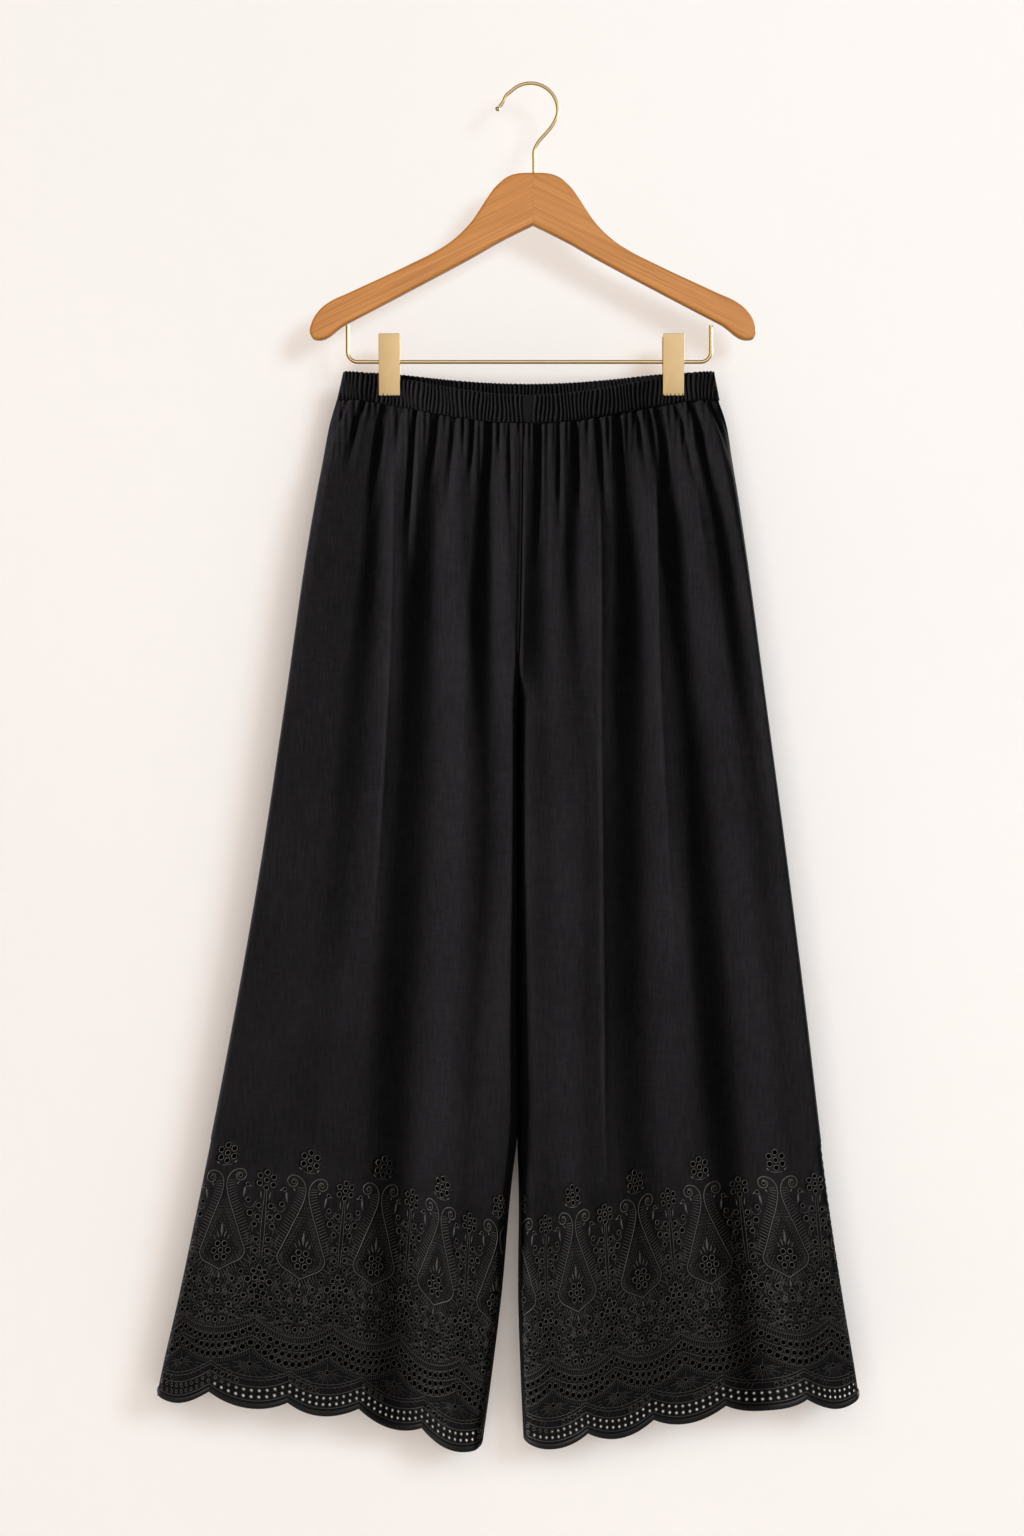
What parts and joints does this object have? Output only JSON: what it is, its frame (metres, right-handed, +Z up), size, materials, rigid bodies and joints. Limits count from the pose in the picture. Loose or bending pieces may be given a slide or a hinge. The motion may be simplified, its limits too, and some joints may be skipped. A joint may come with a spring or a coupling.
{
  "type": "palazzo pants on a clip hanger",
  "caption": "Wide-leg palazzo pants with a gathered elastic waist and scalloped eyelet hem, hanging from a wooden clip hanger.",
  "frame": {"origin": "inside top of the hanger's hook, where it hangs on a rod", "axes": "+Z up along the hanging garment, -Y the garment's front, +X to the right as seen from the front"},
  "size_m": [0.6987, 0.0573, 1.3626],
  "materials": {
    "cloth": "black washed rayon twill, matt, with tone-on-tone eyelet embroidery at the hems",
    "wood": "satin varnished light wood with the grain along each arm",
    "brass": "satin pale brass plating"
  },
  "bodies": {
    "root": {"waistband_front": "cloth", "waistband_back": "cloth", "leg_left_front_hip": "cloth", "leg_left_front_thigh": "cloth", "leg_left_front_border": "cloth", "leg_left_back_hip": "cloth", "leg_left_back_thigh": "cloth", "leg_left_back_border": "cloth", "leg_right_front_hip": "cloth", "leg_right_front_thigh": "cloth", "leg_right_front_border": "cloth", "leg_right_back_hip": "cloth", "leg_right_back_thigh": "cloth", "leg_right_back_border": "cloth", "hanger_wood_left": "wood", "hanger_wood_right": "wood", "hanger_hook": "brass", "hanger_hook_tip": "brass", "hanger_bar": "brass", "clip_left_front": "brass", "clip_left_back": "brass", "clip_left_spring": "brass", "clip_right_front": "brass", "clip_right_back": "brass", "clip_right_spring": "brass"}
  },
  "joints": []
}
